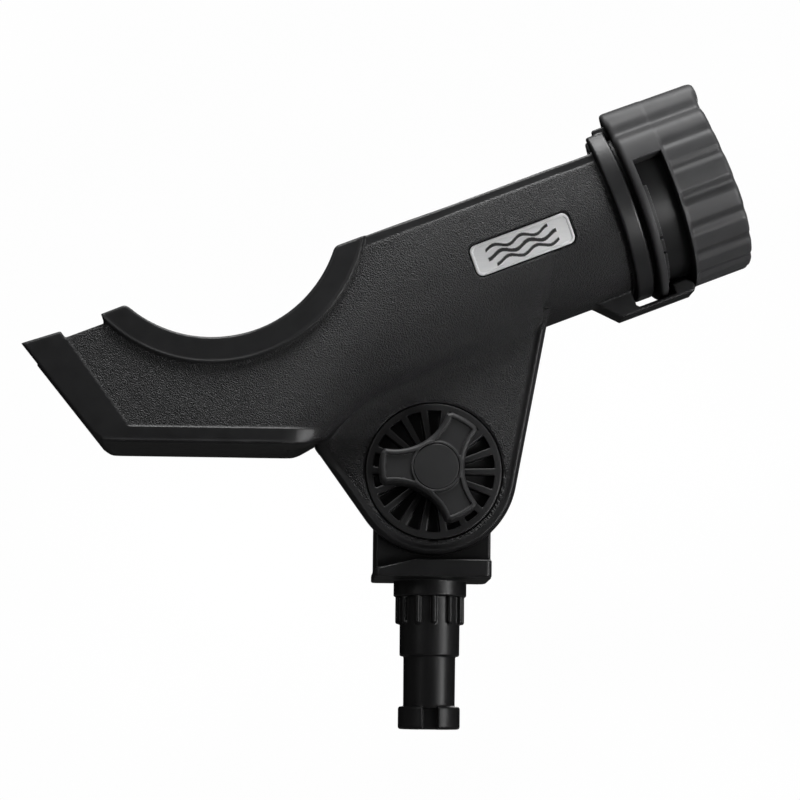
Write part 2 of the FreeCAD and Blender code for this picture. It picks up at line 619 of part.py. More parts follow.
def knob_insert():
    insert = pivot_cyl(INSERT_R, INSERT_Y0, KNOB_SEAT_Y)
    return insert.cut(pivot_cyl(BOLT_R + 0.05, -60, 0))


def knob_cap():
    cap = pivot_cyl(CAP_R - 0.02, CAP_OUT_Y, CAP_SEAT_Y)
    return soften(cap, flat_edges(cap, "Y", CAP_OUT_Y), 0.35)


# ------------------------------------------------------------ output
save(cradle_body(), "cradle_body")
save(badge(NEAR), "badge_near")
save(badge(FAR), "badge_far")
for build in (lock_ring, post, clutch_disc, pivot_bolt, knob_washer, knob, knob_insert, knob_cap):
    save(build(), build.__name__)
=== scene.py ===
"""Tilting tube cradle on a post, with a lock ring, a three-lobed knob and two badges.

Shapes are signed distance fields in millimetres (negative inside), meshed in metres.
+Z is up, the near side is -Y and the ring is at +X. The tube axis lies in the XZ plane,
rising towards +X. The pivot axis runs along Y at x = 0, z = PIVOT_Z.
"""
import math
from functools import reduce

import bpy
import numpy as np
from mathutils import Matrix, Vector


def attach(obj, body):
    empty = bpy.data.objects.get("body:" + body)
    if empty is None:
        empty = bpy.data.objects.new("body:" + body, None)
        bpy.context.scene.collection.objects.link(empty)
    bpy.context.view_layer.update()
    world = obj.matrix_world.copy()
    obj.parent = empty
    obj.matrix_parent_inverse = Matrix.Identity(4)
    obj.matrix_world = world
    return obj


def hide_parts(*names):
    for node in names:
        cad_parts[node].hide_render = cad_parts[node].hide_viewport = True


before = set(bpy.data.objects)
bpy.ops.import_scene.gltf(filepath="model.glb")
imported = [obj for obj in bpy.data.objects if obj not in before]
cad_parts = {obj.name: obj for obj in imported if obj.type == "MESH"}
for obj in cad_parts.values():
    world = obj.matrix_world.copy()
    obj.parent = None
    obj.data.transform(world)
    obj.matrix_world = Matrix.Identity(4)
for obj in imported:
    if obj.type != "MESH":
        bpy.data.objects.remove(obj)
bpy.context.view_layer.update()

SPACING = 0.7    # base grid spacing
GRID_SLICES = 24                        # grid layers sampled at a time
f32 = np.float32

# ---------------------------------------------------------------- shared sizes (mm)
TILT = math.radians(21.5)
COS_TILT, SIN_TILT = math.cos(TILT), math.sin(TILT)
TUBE_AXIS = 104.0                       # tube axis height, square to the tilt
PIVOT_Z = 37.5
SLOT_HALF, SLOT_HALF_FLANGE = 25.5, 24.6
RAIL_OUT, RAIL_TOP = 29.7, 16.95
FLANGE_START, FLANGE_END, FLANGE_R = 107.0, 113.5, 35.8
RING_START, RING_END, RING_BORE = 115.0, 150.5, 33.08
EAR_IN, EAR_OUT, EAR_R, GAP_R = 15.5, 21.0, 29.7, 24.9
SADDLE_Z, FLOOR_Z, BAND_RAISE = 44.8, 48.6, 1.05
SPRING_Z = 74.0                         # the hull's sides curve in below this height
SCOOP_X, SCOOP_Z, SCOOP_R, SCOOP_BAND = -80.1, 128.4, 45.3, 9.6
BADGE_ALONG, BADGE_LENGTH, BADGE_HEIGHT = 71.2, 37.5, 11.4
BADGE_TURN = math.radians(-10.0)

# Outlines: (x, z) points.
SIDE = [(-146.4, 79.8), (-132.6, 84.3), (-131.0, 82.2), (-117.5, 87.5), (-118.6, 90.6),
        (-111.8, 93.4), (-99.0, 98.0), (-60.0, 108.0), (-20.0, 150.0), (140.0, 200.0),
        (140.0, 30.0), (-39.6, 45.9), (-51.4, SADDLE_Z), (-112.0, SADDLE_Z),
        (-117.2, 45.6), (-120.9, 48.4)]
HULL = [(-48.9, 34.2), (-40.3, 44.2), (-36.0, 48.9), (-28.6, 57.0), (-21.3, 63.2),
        (-10.3, 68.2), (3.4, 74.2), (160.0, 135.9), (160.0, 400.0), (-400.0, 400.0),
        (-400.0, -300.0)]
REAR_BAND = [(-160, 90), (-136.4, 90), (-108.0, 51.3), (-108.0, 30), (-160, 30)]
POCKET = [(-114.3, 36.0), (-114.3, 45.6), (-52.0, 45.6), (-52.0, 36.0)]

# The web's straight edges leave the ear circle at these points, square to these normals.
FRONT_NORMAL, REAR_NORMAL = (0.9834, -0.1812), (-0.8110, -0.5850)
FRONT_EDGE, REAR_EDGE = [(nx * EAR_R, PIVOT_Z + nz * EAR_R)
                         for nx, nz in (FRONT_NORMAL, REAR_NORMAL)]
WEB = [FRONT_EDGE,
       (FRONT_EDGE[0] - FRONT_NORMAL[1] * 66, FRONT_EDGE[1] + FRONT_NORMAL[0] * 66),
       (-18.0, 86.0), (-30.0, 64.0),
       (REAR_EDGE[0] + REAR_NORMAL[1] * 31.4, REAR_EDGE[1] - REAR_NORMAL[0] * 31.4),
       REAR_EDGE, (0.0, PIVOT_Z)]
GAP_REAR, GAP_FRONT = [(GAP_R * math.cos(angle), PIVOT_Z + GAP_R * math.sin(angle))
                       for angle in (math.radians(120), math.radians(75))]
GAP = [GAP_REAR, (GAP_REAR[0] - 52, GAP_REAR[1] - 30), (-70, PIVOT_Z - 60),
       (90, PIVOT_Z - 60), (GAP_FRONT[0] + 77.3, GAP_FRONT[1] - 20.7), GAP_FRONT, (0, PIVOT_Z)]

# Latch tongue outline: (along the tube, above its axis).
TONGUE = [(91.0, -28.0), (91.7, -32.3), (99.2, -40.3), (126.9, -40.3), (128.0, -38.9),
          (128.0, -36.7), (125.4, -34.8), (120.4, -34.8), (120.4, -38.5), (106.2, -38.5),
          (105.4, -37.6), (105.4, -28.0)]


# ---------------------------------------------------------------- distance fields
def join(a, b, radius):
    """Union with a fillet."""
    h = np.clip(0.5 + 0.5 * (b - a) / radius, 0, 1)
    return b + (a - b) * h - radius * h * (1 - h)


def meet(a, b, radius):
    """Intersection with a softened edge."""
    return -join(-a, -b, radius)


def carve(a, tool, radius):
    return meet(a, -tool, radius)


def highest(*fields):
    """Sharp intersection of fields, or the strongest of several masks."""
    return reduce(np.maximum, fields)


def ease(start, end, value):
    """Smooth 0 to 1 as value goes from start to end."""
    t = np.clip((value - start) / (end - start), 0, 1)
    return t * t * (3 - 2 * t)


def bell(value, centre, width):
    return np.exp(-((value - centre) / width) ** 2)


def length(a, b):
    return np.sqrt(a * a + b * b)


def rectangle(px, py, half_x, half_y, corner):
    qx, qy = np.abs(px) - (half_x - corner), np.abs(py) - (half_y - corner)
    outside = length(np.maximum(qx, 0), np.maximum(qy, 0))
    return outside + np.minimum(np.maximum(qx, qy), 0) - corner


def polygon(px, py, points):
    """Exact signed distance to a polygon."""
    squared = np.full(px.shape, 1e9, dtype=px.dtype)
    inside = np.zeros(px.shape, dtype=bool)
    for i, (ax, ay) in enumerate(points):
        bx, by = points[i - 1]
        ex, ey = bx - ax, by - ay
        wx, wy = px - ax, py - ay
        t = np.clip((wx * ex + wy * ey) / (ex * ex + ey * ey), 0, 1)
        dx, dy = wx - ex * t, wy - ey * t
        squared = np.minimum(squared, dx * dx + dy * dy)
        if ay != by:
            crossing = (bx - ax) * (py - ay) / (by - ay) + ax
            inside ^= ((ay > py) != (by > py)) & (px < crossing)
    dist = np.sqrt(squared)
    return np.where(inside, -dist, dist)


def slab(value, low, high):
    return np.abs(value - (low + high) / 2) - (high - low) / 2


def extrude(outline, depth, edge):
    """Outline field extruded through a slab field, with edges rounded by edge."""
    a, b = outline + edge, depth + edge
    return np.minimum(np.maximum(a, b), 0) + length(np.maximum(a, 0), np.maximum(b, 0)) - edge


def edge_line(x, z, normal, point):
    return normal[0] * (x - point[0]) + normal[1] * (z - point[1])


def tube_coords(x, y, z):
    """Distance along the tube, height above its axis, and radius about it."""
    along = x * COS_TILT + z * SIN_TILT
    rise = -x * SIN_TILT + z * COS_TILT - TUBE_AXIS
    return along, rise, length(y, rise)


def pivot_radius(x, z):
    return length(x, z - PIVOT_Z)


def sector(angle, count, phase=0.5):
    """Angle from the middle of the nearest of count equal sectors."""
    pitch = 2 * math.pi / count
    return (angle + pitch * phase) % pitch - pitch / 2


# ---------------------------------------------------------------- meshing
CORNERS = [(i & 1, i >> 1 & 1, i >> 2) for i in range(8)]
EDGES = [(i, i | bit) for bit in (1, 2, 4) for i in range(8) if not i & bit]


def sample_grid(field, low, high, spacing):
    count = np.ceil((high - low) / spacing).astype(int) + 1
    xs, ys, zs = [(low[i] + spacing * np.arange(count[i])).astype(f32) for i in range(3)]
    values = np.empty(tuple(count), f32)
    for i in range(0, count[0], GRID_SLICES):
        part = slice(i, i + GRID_SLICES)
        values[part] = field(*np.meshgrid(xs[part], ys, zs, indexing="ij"))
    return values


def net_points(values):
    """A point in every cell the surface crosses, and the point number of each cell."""
    inside = values < 0
    shape = tuple(n - 1 for n in values.shape)
    corners_in = np.zeros(shape, np.uint8)
    for corner in CORNERS:
        corners_in += inside[tuple(slice(c, n + c) for c, n in zip(corner, shape))]
    cells = np.nonzero((corners_in > 0) & (corners_in < 8))
    number = -np.ones(shape, np.int64)
    number[cells] = np.arange(len(cells[0]))
    total = np.zeros((len(cells[0]), 3))
    crossings = np.zeros(len(cells[0]))
    at_corner = [values[tuple(i + c for i, c in zip(cells, corner))].astype(float)
                 for corner in CORNERS]
    for a, b in EDGES:
        va, vb = at_corner[a], at_corner[b]
        crossed = (va < 0) != (vb < 0)
        t = np.where(crossed, va / np.where(crossed, va - vb, 1), 0)
        for axis in range(3):
            start, end = CORNERS[a][axis], CORNERS[b][axis]
            total[:, axis] += crossed * (start + t * (end - start))
        crossings += crossed
    return total / crossings[:, None] + np.stack(cells, 1), number


def net_quads(values, number):
    """A quad round every grid edge the surface crosses, facing outwards."""
    inside = values < 0
    quads = []
    for axis in range(3):
        first, second = [slice(None)] * 3, [slice(None)] * 3
        first[axis], second[axis] = slice(0, -1), slice(1, None)
        starts_in = inside[tuple(first)]
        crossed = starts_in != inside[tuple(second)]
        others = (axis + 1) % 3, (axis + 2) % 3
        for other in others:
            for end in (0, -1):
                border = [slice(None)] * 3
                border[other] = end
                crossed[tuple(border)] = False
        edges = np.array(np.nonzero(crossed)).T

        def cell(back0, back1):
            c = edges.copy()
            c[:, others[0]] -= back0
            c[:, others[1]] -= back1
            return number[tuple(c.T)]

        quad = np.stack([cell(1, 1), cell(0, 1), cell(0, 0), cell(1, 0)], 1)
        leaving = starts_in[tuple(edges.T)]
        quad[~leaving] = quad[~leaving][:, ::-1]
        quads.append(quad)
    return np.concatenate(quads)


def surface(field, low, high, spacing, name, masks):
    """Mesh the zero level of field with surface nets; masks become point attributes."""
    low, high = np.array(low, float), np.array(high, float)
    values = sample_grid(field, low, high, spacing)
    points, number = net_points(values)
    quads = net_quads(values, number)
    points = low + points * spacing

    def sample(fn, p):
        return fn(*(p[:, axis].astype(f32) for axis in range(3)))

    def gradient(p):
        slope = np.empty_like(p)
        reach = spacing * 0.25
        for axis in range(3):
            shift = np.zeros(3)
            shift[axis] = reach
            ahead = sample(field, p + shift).astype(float)
            behind = sample(field, p - shift).astype(float)
            slope[:, axis] = (ahead - behind) / (2 * reach)
        return slope

    # two limited Newton steps pull the points onto the surface
    for _ in range(2):
        slope = gradient(points)
        value = sample(field, points).astype(float)
        move = -slope * (value / np.maximum((slope ** 2).sum(1), 0.2))[:, None]
        moved = np.linalg.norm(move, axis=1)
        move *= np.minimum(1, 0.45 * spacing / np.maximum(moved, 1e-9))[:, None]
        points = points + move

    mesh = bpy.data.meshes.new(name)
    mesh.vertices.add(len(points))
    mesh.vertices.foreach_set("co", (points / 1000).astype(f32).ravel())
    mesh.loops.add(quads.size)
    mesh.loops.foreach_set("vertex_index", quads.astype(np.int32).ravel())
    mesh.polygons.add(len(quads))
    mesh.polygons.foreach_set("loop_start", (np.arange(len(quads)) * 4).astype(np.int32))
    mesh.polygons.foreach_set("loop_total", np.full(len(quads), 4, np.int32))
    mesh.update(calc_edges=True)
    mesh.validate()
    mesh.polygons.foreach_set("use_smooth", np.ones(len(mesh.polygons), bool))
    # validate may drop faces; field normals are only set when it kept them all
    if len(mesh.polygons) == len(quads):
        slope = gradient(points)
        slope /= np.maximum(np.linalg.norm(slope, axis=1), 1e-6)[:, None]
        mesh.normals_split_custom_set_from_vertices(slope.tolist())
    for mask_name, mask in masks.items():
        attribute = mesh.attributes.new(mask_name, "FLOAT", "POINT")
        attribute.data.foreach_set("value", sample(mask, points).astype(f32))
    ob = bpy.data.objects.new(name, mesh)
    bpy.context.scene.collection.objects.link(ob)
    return ob


# ---------------------------------------------------------------- cradle body
def band_fields(x, z):
    """Radius about the scoop, and fields of the scoop, rear and low bands."""
    scoop_r = length(x - SCOOP_X, z - SCOOP_Z)
    return (scoop_r, scoop_r - (SCOOP_R + SCOOP_BAND), polygon(x, z, REAR_BAND),
            np.maximum(z - 51.3, x + 38.0))


def web_outline(x, z):
    return np.minimum(polygon(x, z, WEB), pivot_radius(x, z) - EAR_R)


def body_core(x, y, z):
    """Tube, and the hull that runs from the saddle up into it."""
    along, rise, radial = tube_coords(x, y, z)
    abs_y = np.abs(y)
    _, scoop, rear, low = band_fields(x, z)
    low_mask = ease(0.5, -0.5, low) * ease(-38.0, -50.0, x)
    raised = BAND_RAISE * highest(ease(0.5, -0.5, scoop), low_mask, ease(0.5, -0.5, rear))
    # 0 at the saddle, 1 where the section is the full tube
    flare = ease(-18.0, 9.0, 0.855 * (x + 51.5) - 0.518 * (z - 48.0))
    tube = highest(radial - (27.2 + 5.5 * flare), slab(along, -22.0, FLANGE_START + 1))
    tube = meet(tube, rise - RAIL_TOP, 1.4)

    half, tube_half = 29.4, 32.65
    below = np.maximum(SPRING_Z - z, 0) / 36.0
    half_here = half + np.maximum(z - SPRING_Z, 0) * 0.015
    saddle = ((abs_y / half_here) ** 8 + below ** 8) ** 0.125
    depth = -polygon(x, z, HULL)
    rounding = 56.0 - 14.0 * ease(20.0, 72.0, along)
    full = (np.sqrt((abs_y / tube_half) ** 2 + (np.maximum(36.0 - depth, 0) / rounding) ** 2
                    + (np.maximum(rise, 0) / tube_half) ** 2) - 1) * 31.0
    # small beads along the scoop band and the saddle's lower edge
    bead = (0.30 * bell(scoop, -0.75, 0.5)
            + 0.28 * bell(z - SADDLE_Z, 1.1, 0.6) * ease(-46.0, -54.0, x))
    hull = (saddle - 1) * half * (1 - flare) + full * flare - raised - bead
    hull = meet(hull, SADDLE_Z + 0.05 * np.maximum(y, 0) - z, 1.3)
    hull = extrude(-depth - 1.4 * flare, hull, 7.0)
    hull = meet(hull, rise - RAIL_TOP - 0.3 - 40.0 * ease(-60.0, -90.0, x), 1.0)
    hull = meet(hull, polygon(x - 1.2 * ease(-8.0, 8.0, y), z, SIDE), 1.3)
    # sloped underside towards +X, lower on the near side
    slope_z = SADDLE_Z + 0.565 * (np.minimum(x, -41.0) + 51.5)
    hull = meet(hull, 0.871 * (slope_z - z) - 3.0 * ease(0.0, -22.0, y), 1.3)
    hull = meet(hull, edge_line(x, z, FRONT_NORMAL, FRONT_EDGE) + 1.8, 6.0)
    return join(tube, hull, 1.0)


def add_web(dist, x, y, z):
    """Web and ears round the pivot, with a far-side boss."""
    _, rise, _ = tube_coords(x, y, z)
    outline = web_outline(x, z)
    border = ((y < 0) * ease(-33.0, -36.5, rise)
              * np.where(x < 0, ease(42.0, 34.0, z), 1.0))
    border_height = 1.0 * bell(outline, -1.7, 0.9) - 0.40 * bell(outline, -4.2, 0.9)
    face = np.abs(y) - EAR_OUT - border * border_height
    inset = edge_line(x, z, REAR_NORMAL, REAR_EDGE) + 3.1
    trimmed = np.where(y > -14.0, np.maximum(outline, inset), outline)
    web = extrude(np.maximum(trimmed, rise + 26.5), face, 1.2)
    dist = join(dist, web, 1.2 + 2.6 * ease(-1.0, -8.0, outline))
    boss = extrude(pivot_radius(x, z) - 12.5, slab(y, EAR_IN + 1, EAR_OUT + 3.0), 0.8)
    return join(dist, boss, 1.6)


def add_fittings(dist, x, y, z):
    """Slot rails, then flange, lugs, sleeve and latch tongue at the tube's +X end."""
    along, rise, radial = tube_coords(x, y, z)
    abs_y = np.abs(y)
    scoop = band_fields(x, z)[1]
    rail = rectangle(abs_y - (RAIL_OUT + SLOT_HALF - 3) / 2, rise - (RAIL_TOP + 5) / 2,
                     (RAIL_OUT - SLOT_HALF + 3) / 2, (RAIL_TOP - 5) / 2, 0.9)
    rail = np.maximum(rail, slab(along, -6.0, FLANGE_START + 1))
    dist = join(dist, rail, 0.8 + 1.2 * ease(0.5, -0.5, scoop))
    outside_slot = -np.maximum(abs_y - SLOT_HALF_FLANGE, -rise)
    flange = extrude(radial - FLANGE_R, slab(along, FLANGE_START, FLANGE_END), 0.9)
    flange = meet(meet(flange, outside_slot, 0.8), rise - 23.2, 0.8)
    dist = join(dist, flange, 0.9)
    lug = rectangle(abs_y - 25.1, rise - np.where(y > 0, 21.2, 22.4),
                    2.1, np.where(y > 0, 1.6, 2.5), 0.7)
    dist = join(dist, extrude(lug, slab(along, 109.8, 116.2), 0.7), 0.5)
    sleeve = extrude(radial - 33.0, slab(along, FLANGE_END - 1.0, 147.4), 0.5)
    dist = join(dist, meet(sleeve, outside_slot, 0.8), 0.5)
    return join(dist, extrude(polygon(along, rise, TONGUE), abs_y - 7.5, 0.55), 0.9)


def carve_inside(dist, x, y, z):
    """Bore, open slot above it, saddle hollow and the round scoop."""
    along, rise, radial = tube_coords(x, y, z)
    abs_y = np.abs(y)
    bore = np.maximum(radial - (23.0 + 5.7 * ease(-60.0, -26.0, along)), -62.0 - along)
    slot_half = np.where(along > FLANGE_START, SLOT_HALF_FLANGE, SLOT_HALF)
    inside = join(bore, np.maximum(abs_y - slot_half, -rise), 1.0)
    half = 25.4
    below = np.maximum(SPRING_Z - z, 0) / 29.0
    hollow = length(abs_y / (half + np.maximum(z - SPRING_Z, 0) * 0.015), below)
    inside = join(inside, meet((hollow - 1) * half, x + 79.0, 4.0), 5.0)
    inside = meet(inside, FLOOR_Z - z, 2.5)
    dist = carve(dist, inside, 1.0)
    return meet(dist, SCOOP_R - band_fields(x, z)[0], 1.3)


def carve_pivot(dist, x, y, z):
    """Head space between the ears, underside pocket and far-side bolt pocket."""
    abs_y = np.abs(y)
    pivot_r = pivot_radius(x, z)
    gap = np.minimum(polygon(x, z, GAP), pivot_r - GAP_R)
    dist = carve(dist, np.maximum(gap, abs_y - EAR_IN), 0.7)
    dist = carve(dist, np.maximum(pivot_r - 24.45, y + EAR_IN - 0.5), 0.45)
    dist = carve(dist, np.maximum(polygon(x, z, POCKET), abs_y - 10.5), 1.2)
    half_z, side_x = (z - PIVOT_Z) * 0.5, x * 0.8660
    hexagon = highest(np.abs(z - PIVOT_Z), np.abs(half_z + side_x),
                      np.abs(half_z - side_x)) - 6.6
    dist = carve(dist, np.maximum(hexagon, 18.7 - y), 0.3)
    return carve(dist, np.maximum(pivot_r - 4.1, 14.0 - y), 0.3)


def body_field(x, y, z):
    dist = body_core(x, y, z)
    for step in (add_web, add_fittings, carve_inside, carve_pivot):
        dist = step(dist, x, y, z)
    along, rise, radial = tube_coords(x, y, z)
    abs_y = np.abs(y)
    flat_x, flat_z = badge_local(along, abs_y, rise)
    clearance = 0.55
    badge = rectangle(flat_x, flat_z, BADGE_LENGTH / 2 + clearance,
                      BADGE_HEIGHT / 2 + clearance, 3.0)
    return carve(dist, highest(badge, 31.8 - radial, -(abs_y - 20)), 0.35)


def body_smooth(x, y, z):
    """1 on the satin bands, rails and mouldings; 0 on the grained faces."""
    along, rise, radial = tube_coords(x, y, z)
    abs_y = np.abs(y)
    _, scoop, rear, low = band_fields(x, z)
    pivot_r = pivot_radius(x, z)
    outline = web_outline(x, z)
    hollow = length(abs_y / 26.6, np.maximum(SPRING_Z - z, 0) / 29.0)
    return highest(
        ease(0.35, -0.35, scoop),
        ease(0.35, -0.35, rear),
        ease(0.35, -0.35, low) * ease(-40, -44, x),
        ease(12.7, 14.1, rise) * (along > -6),                      # rails
        along > FLANGE_START - 1.0,
        ease(-4.2, -3.2, outline) * ease(-34.5, -36.5, rise)        # web border
        * (abs_y > 15.0) * (abs_y < 23.5) * (outline < 1.5),
        (radial < 23.75 + 5.7 * ease(-60.0, -26.0, along)) & (along > -60),     # bore
        (hollow < 1.0) & (x < -60) & (z > 48.0),                    # saddle hollow
        (along > 90.5) & (abs_y < 8.2) & (rise < -32.0),            # latch tongue
        (abs_y < EAR_IN + 0.5) & (z < 78),                          # between the ears
        (z < 45.4) & (x < -40),                                     # underside
        (pivot_r < 25.2) & (y < 0),                                 # near ear
        (pivot_r < 13.4) & (y > 0))                                 # far boss


# ---------------------------------------------------------------- lock ring
def ring_field(x, y, z):
    along, rise, radial = tube_coords(x, y, z)
    near = -y
    angle = np.degrees(np.arctan2(near, rise)) % 360.0     # from the top, towards -Y
    from_top = np.minimum(angle, 360 - angle)
    front = ease(129.0, 130.6, along)
    # grip: wide pads with narrow hollows between them
    pitch = 18.25
    off_groove = np.abs(((angle - 61.375) / pitch) % 1.0 - 0.5) * pitch
    groove = ((0.5 + 0.5 * np.cos(np.pi * np.minimum(off_groove / 5.2, 1.0)))
              * ease(74.0, 84.0, angle) * ease(286.0, 276.0, angle))
    cove = bell(from_top, 57.5, 4.6) + 0.35 * bell(from_top, 75.0, 2.6) * front
    outer = 38.0 + 0.25 * (1 - front) - front * groove * 1.05 - 1.7 * cove
    end = RING_END - 1.2 + 1.7 * ease(64.0, 135.0, from_top)
    dist = meet(radial - outer, slab(along, RING_START, end), 2.2)
    # round horns either side of the top opening
    horn_angle, horn_r = math.radians(43.0), 35.5
    horn_y, horn_rise = np.sin(horn_angle) * horn_r, np.cos(horn_angle) * horn_r
    droop = 0.9 * (along - RING_START) / 35.0
    horn = length(np.abs(y) - horn_y, rise - horn_rise + 0.15 + droop) - 3.4
    horn = meet(horn, slab(along, RING_START, RING_END - 0.4), 1.4)
    dist = join(dist, horn, 2.4)
    dist = carve(dist, np.maximum(radial - RING_BORE, along - 147.75), 0.5)
    dist = meet(dist, 30.2 - radial, 0.8)
    opening = math.radians(39)
    dist = carve(dist, np.abs(y) * math.cos(opening) - rise * math.sin(opening), 1.6)

    def radial_plane(degrees):
        turn = math.radians(degrees)
        return near * math.cos(turn) - rise * math.sin(turn)

    window = highest(-radial_plane(77.5), radial_plane(193.6), slab(along, 118.1, 128.8))
    dist = carve(dist, window, 0.45)
    # stepped ledge along the window's saddle-side edge, with two notches
    ledge = highest(-radial_plane(92.0), radial_plane(193.0), slab(along, 117.6, 120.0),
                    radial - 34.5, RING_BORE - radial)
    notches = np.minimum(np.abs(radial_plane(126.0)) - 0.6, np.abs(radial_plane(137.0)) - 0.6)
    return join(dist, np.maximum(ledge, -notches), 0.3)


# ---------------------------------------------------------------- knob and cap
def arc_through(start, middle, end, count):
    """count points from start towards end (left out) on the circle through all three."""
    (ax, ay), (bx, by), (cx, cy) = start, middle, end
    double = 2 * (ax * (by - cy) + bx * (cy - ay) + cx * (ay - by))
    a2, b2, c2 = ax**2 + ay**2, bx**2 + by**2, cx**2 + cy**2
    ux = (a2 * (by - cy) + b2 * (cy - ay) + c2 * (ay - by)) / double
    uy = (a2 * (cx - bx) + b2 * (ax - cx) + c2 * (bx - ax)) / double
    radius = math.hypot(ax - ux, ay - uy)
    first, mid, last = [math.atan2(p[1] - uy, p[0] - ux) for p in (start, middle, end)]

    def unwind(angle, sign):
        while sign * (angle - first) < 0:
            angle += sign * 2 * math.pi
        return angle

    sweep = unwind(last, 1)
    if sweep < unwind(mid, 1):      # the middle point lies the other way round
        sweep = unwind(last, -1)
    angles = [first + (sweep - first) * i / count for i in range(count)]
    return [(ux + radius * math.cos(t), uy + radius * math.sin(t)) for t in angles]


def lobe_outline():
    """Three lobes joined by concave waists, about the pivot."""
    tip, half, waist, corner = 19.4, 6.25, 9.9, 1.4
    end = [(tip - corner, -half), (tip, -half + corner), (tip + 0.5, 0),
           (tip, half - corner), (tip - corner, half)]
    directions = [180, 300, 60]
    lobes = []
    for angle in directions:
        c, s = math.cos(math.radians(angle)), math.sin(math.radians(angle))
        lobes.append([(c * lx - s * lz, s * lx + c * lz) for lx, lz in end])
    points = []
    for i, lobe in enumerate(lobes):
        points += [lobe[0], *arc_through(lobe[1], lobe[2], lobe[3], 4), lobe[3]]
        between = math.radians(directions[i] + 60)
        valley = (math.cos(between) * waist, math.sin(between) * waist)
        points += arc_through(lobe[4], valley, lobes[(i + 1) % 3][0], 14)
    return points


LOBES = lobe_outline()


def knob_field(x, y, z):
    pivot_r = pivot_radius(x, z)
    outline = polygon(x, z - PIVOT_Z, LOBES)
    dist = extrude(outline, slab(y, -38.0, -27.0), 1.5)
    # sunk face inside a raised border
    dist = carve(dist, np.maximum(outline + 1.9, y + 37.25), 0.45)
    dist = join(dist, np.maximum(pivot_r - 8.8, slab(y, -37.9, -30.0)), 0.9)
    hub = np.maximum(pivot_r - (9.55 - 0.05 * (y + 24.0)), slab(y, -30.0, -22.25))
    dist = join(dist, hub, 1.6)
    # cap seat, far-side bore and bolt hole
    for radius, side in ((8.07, y + 36.4), (5.62, -33.5 - y), (4.5, -36.0 - y)):
        dist = carve(dist, np.maximum(pivot_r - radius, side), 0.3)
    return dist


def cap_field(x, y, z):
    """Plain cap with a very slightly crowned face."""
    pivot_r = pivot_radius(x, z)
    return extrude(pivot_r - 7.98, slab(y, -38.05 + 0.0025 * pivot_r * pivot_r, -36.4), 0.3)


# ---------------------------------------------------------------- clutch disc and post
def face_teeth(pivot_r, angle, height, depth):
    """Radial teeth that narrow with height, within the slab field depth."""
    tooth = np.abs(np.sin(angle)) * pivot_r - (0.95 - 0.5 * np.clip(height / 1.2, 0, 1))
    return highest(tooth, pivot_r - 19.8, 12.0 - pivot_r, depth)


def disc_field(x, y, z):
    pivot_r = pivot_radius(x, z)
    angle = np.arctan2(z - PIVOT_Z, x)
    back = -15.425
    dist = extrude(pivot_r - 24.3, slab(y, -21.0, back), 0.7)
    # near-side well crossed by spokes
    spoke = (np.abs(np.sin(sector(angle, 18))) * pivot_r
             - (0.95 + 0.4 * (pivot_r - 9.0) / 13.0))
    well = highest(pivot_r - 21.6, 9.6 - pivot_r, y + 17.0)
    dist = carve(dist, carve(well, spoke, 0.5), 0.5)
    teeth = face_teeth(pivot_r, sector(angle, 24, phase=0), y - back, slab(y, -16.0, -14.5))
    dist = join(dist, teeth, 0.25)
    return meet(dist, 4.1 - pivot_r, 0.3)


def post_field(x, y, z):
    abs_y = np.abs(y)
    pivot_r = pivot_radius(x, z)
    post_r = length(x, y)
    head = np.minimum(np.maximum(np.abs(x - 0.25) - 20.55, slab(z, 0.0, PIVOT_Z)),
                      pivot_r - 21.5)
    head = extrude(head, abs_y - 15.3, 1.0)
    base_top = np.where(x > -6.0, 6.3, 6.3 + (x + 6.0) * 0.2437)
    base = extrude(rectangle(x - 0.1, y, 20.8, 21.5, 2.2), np.maximum(z - base_top, -z), 0.6)
    dist = join(head, base, 1.0)
    dist = join(dist, extrude(post_r - 13.1, slab(z, -6.05, 1.0), 0.5), 0.7)
    # ribbed bar, thin shank and slotted foot
    bar = extrude(post_r - (10.73 + (z + 27.4) * 0.004), slab(z, -27.4, 0.0), 0.6)
    angle = sector(np.arctan2(y, x) - math.radians(5), 12)
    off_x, off_y = post_r * np.cos(angle) - 11.6, post_r * np.sin(angle)
    rib = np.sqrt(np.maximum(off_x, 0) ** 2 + off_y ** 2 + np.minimum(z + 15.1, 0) ** 2) - 0.9
    bar = join(bar, highest(rib, 9.0 - post_r, z), 0.6)
    dist = join(dist, bar, 0.4)
    shank = np.maximum(post_r - 9.25 - (z + 45.3) * 0.004, slab(z, -46.0, -20.0))
    dist = join(dist, shank, 0.6)
    foot = extrude(post_r - 11.1, slab(z, -53.4, -45.3), 0.9)
    foot = carve(foot, np.maximum(np.abs(x) - 2.7, 8.05 - abs_y), 0.5)
    dist = join(dist, foot, 0.5)
    # toothed recess on the head's near side, and the pivot hole
    recess_y = -12.3
    dist = carve(dist, highest(pivot_r - 24.8, y - recess_y, 7.3 - z), 0.5)
    angle = sector(np.arctan2(z - PIVOT_Z, x), 24)
    teeth = face_teeth(pivot_r, angle, -(y - recess_y), slab(y, -13.1, -11.5))
    dist = join(dist, teeth, 0.25)
    return meet(dist, 4.1 - pivot_r, 0.3)


# ---------------------------------------------------------------- badges
def badge_local(along, abs_y, rise):
    """Position along the tube and across it, from the badge's middle."""
    return along - BADGE_ALONG, rise * math.cos(BADGE_TURN) - abs_y * math.sin(BADGE_TURN)


